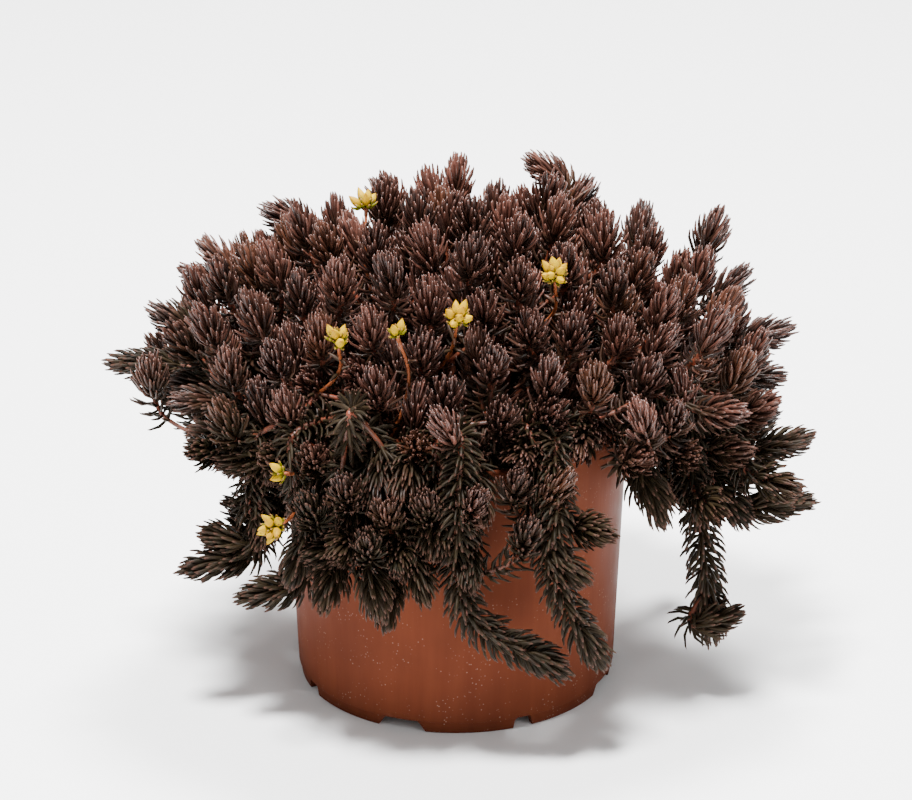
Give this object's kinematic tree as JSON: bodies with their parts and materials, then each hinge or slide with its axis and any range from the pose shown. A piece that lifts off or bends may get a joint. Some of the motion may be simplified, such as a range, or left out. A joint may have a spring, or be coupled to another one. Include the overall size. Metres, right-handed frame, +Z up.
{
  "type": "potted stonecrop",
  "caption": "Low succulent plant with chocolate-brown needle leaves mounded over a round nursery pot, with a few heads of yellow buds.",
  "frame": {"origin": "on the surface that the pot stands on, under the middle of the whole plant's box; the pot's axis is 2 mm left and 11 mm in front of it", "axes": "+Z up; the plant's fuller front, with most of the buds, faces -Y; +X is to the right of someone who faces it"},
  "size_m": [0.2891, 0.2202, 0.2115],
  "materials": {
    "pot_plastic": "satin brown-orange moulded plastic, dusty",
    "potting_soil": "dark crumbly peat",
    "foliage": "satin chocolate-brown leaf, paler and redder at the tips, with orange-red stems",
    "flower_buds": "waxy yellow bud with a green base"
  },
  "bodies": {
    "root": {"flower_buds_back": "flower_buds", "flower_buds_hanging": "flower_buds", "flower_buds_left": "flower_buds", "flower_buds_lower": "flower_buds", "flower_buds_middle": "flower_buds", "flower_buds_right": "flower_buds", "flower_buds_single": "flower_buds", "leafy_stem_01": "foliage", "leafy_stem_02": "foliage", "leafy_stem_03": "foliage", "leafy_stem_04": "foliage", "leafy_stem_05": "foliage", "leafy_stem_06": "foliage", "leafy_stem_07": "foliage", "leafy_stem_08": "foliage", "leafy_stem_09": "foliage", "leafy_stem_10": "foliage", "leafy_stem_11": "foliage", "leafy_stem_12": "foliage", "leafy_stem_13": "foliage", "leafy_stem_14": "foliage", "leafy_stem_15": "foliage", "leafy_stem_16": "foliage", "leafy_stem_17": "foliage", "leafy_stem_18": "foliage", "leafy_stem_19": "foliage", "leafy_stem_20": "foliage", "leafy_stem_21": "foliage", "leafy_stem_22": "foliage", "leafy_stem_23": "foliage", "leafy_stem_24": "foliage", "leafy_stem_25": "foliage", "leafy_stem_26": "foliage", "leafy_stem_27": "foliage", "leafy_stem_28": "foliage", "leafy_stem_29": "foliage", "leafy_stem_30": "foliage", "leafy_stem_31": "foliage", "leafy_stem_32": "foliage", "leafy_stem_33": "foliage", "leafy_stem_34": "foliage", "leafy_stem_35": "foliage", "leafy_stem_36": "foliage", "leafy_stem_37": "foliage", "leafy_stem_38": "foliage", "leafy_stem_39": "foliage", "leafy_stem_40": "foliage", "leafy_stem_41": "foliage", "leafy_stem_42": "foliage", "leafy_stem_43": "foliage", "leafy_stem_44": "foliage", "leafy_stem_45": "foliage", "pot": "pot_plastic", "soil": "potting_soil", "trailing_stem_1": "foliage", "trailing_stem_2": "foliage", "trailing_stem_3": "foliage", "trailing_stem_4": "foliage", "trailing_stem_5": "foliage"}
  },
  "joints": []
}
